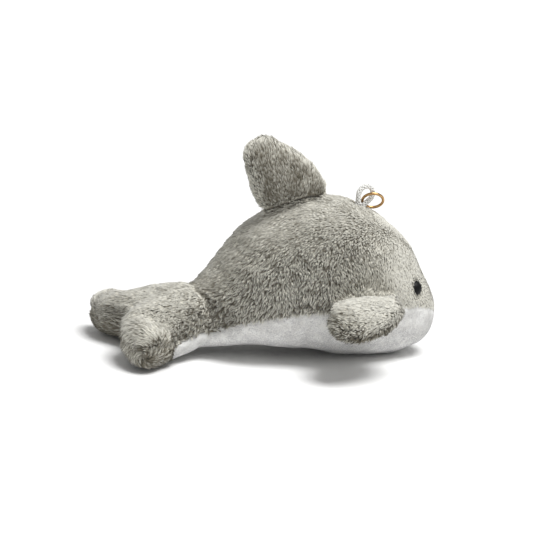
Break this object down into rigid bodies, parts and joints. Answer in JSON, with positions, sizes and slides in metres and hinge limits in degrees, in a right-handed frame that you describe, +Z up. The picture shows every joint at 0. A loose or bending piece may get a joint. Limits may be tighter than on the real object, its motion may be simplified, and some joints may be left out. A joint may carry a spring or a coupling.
{
  "type": "plush dolphin",
  "caption": "Small stuffed dolphin in short pile plush, with stuffed fin, flippers and flukes, on a cord loop with a jump ring.",
  "frame": {"origin": "on the ground under the middle of the toy's length", "axes": "+X towards the snout, +Y to the toy's left, +Z up"},
  "size_m": [0.1185, 0.0932, 0.0768],
  "materials": {
    "grey_plush": "short pile plush, warm light grey",
    "white_plush": "very short pile plush, white",
    "filling": "loose polyester fibre",
    "eye_plastic": "polished black",
    "washer_plastic": "natural moulded plastic",
    "cord": "braided white cord",
    "ring_brass": "bright plated wire"
  },
  "bodies": {
    "body": {"right_side_panel": "grey_plush", "left_side_panel": "grey_plush", "belly_panel": "white_plush", "body_filling": "filling", "right_eye": "eye_plastic", "left_eye": "eye_plastic", "right_eye_washer": "washer_plastic", "left_eye_washer": "washer_plastic", "loop_knot": "cord"},
    "tail": {"tail_upper_panel": "grey_plush", "tail_lower_panel": "grey_plush", "tail_filling": "filling"},
    "dorsal_fin": {"dorsal_fin_right_panel": "grey_plush", "dorsal_fin_left_panel": "grey_plush", "dorsal_fin_filling": "filling"},
    "right_flipper": {"right_flipper_upper_panel": "grey_plush", "right_flipper_lower_panel": "grey_plush", "right_flipper_filling": "filling"},
    "left_flipper": {"left_flipper_upper_panel": "grey_plush", "left_flipper_lower_panel": "grey_plush", "left_flipper_filling": "filling"},
    "loop": {"hanging_loop": "cord"},
    "ring": {"jump_ring": "ring_brass"}
  },
  "joints": [
    {"name": "tail_bend", "type": "hinge", "parent": "body", "child": "tail", "pos_m": [-0.03905, 0, 0.014], "axis": [0, 1, 0], "range_deg": [-12, 12], "stiffness_Nm_per_rad": 0.05},
    {"name": "dorsal_fin_lean", "type": "hinge", "parent": "body", "child": "dorsal_fin", "pos_m": [0.00384, 0, 0.05646], "axis": [0.9613, 0, 0.2756], "range_deg": [-25, 25], "stiffness_Nm_per_rad": 0.01},
    {"name": "right_flipper_flap", "type": "hinge", "parent": "body", "child": "right_flipper", "pos_m": [0.02482, -0.02789, 0.02387], "axis": [-0.9781, -0.2079, 0], "range_deg": [-20, 45], "stiffness_Nm_per_rad": 0.005},
    {"name": "left_flipper_flap", "type": "hinge", "parent": "body", "child": "left_flipper", "pos_m": [0.02482, 0.02789, 0.02387], "axis": [0.9781, -0.2079, 0], "range_deg": [-20, 45], "stiffness_Nm_per_rad": 0.005},
    {"name": "loop_tilt", "type": "hinge", "parent": "body", "child": "loop", "pos_m": [0.02875, 0, 0.0525], "axis": [0, 1, 0], "range_deg": [-15, 0], "stiffness_Nm_per_rad": 0.002},
    {"name": "ring_swing", "type": "hinge", "parent": "loop", "child": "ring", "pos_m": [0.02987, 0, 0.05528], "axis": [0.4271, -0.8692, 0.2491], "range_deg": [0, 100]}
  ]
}
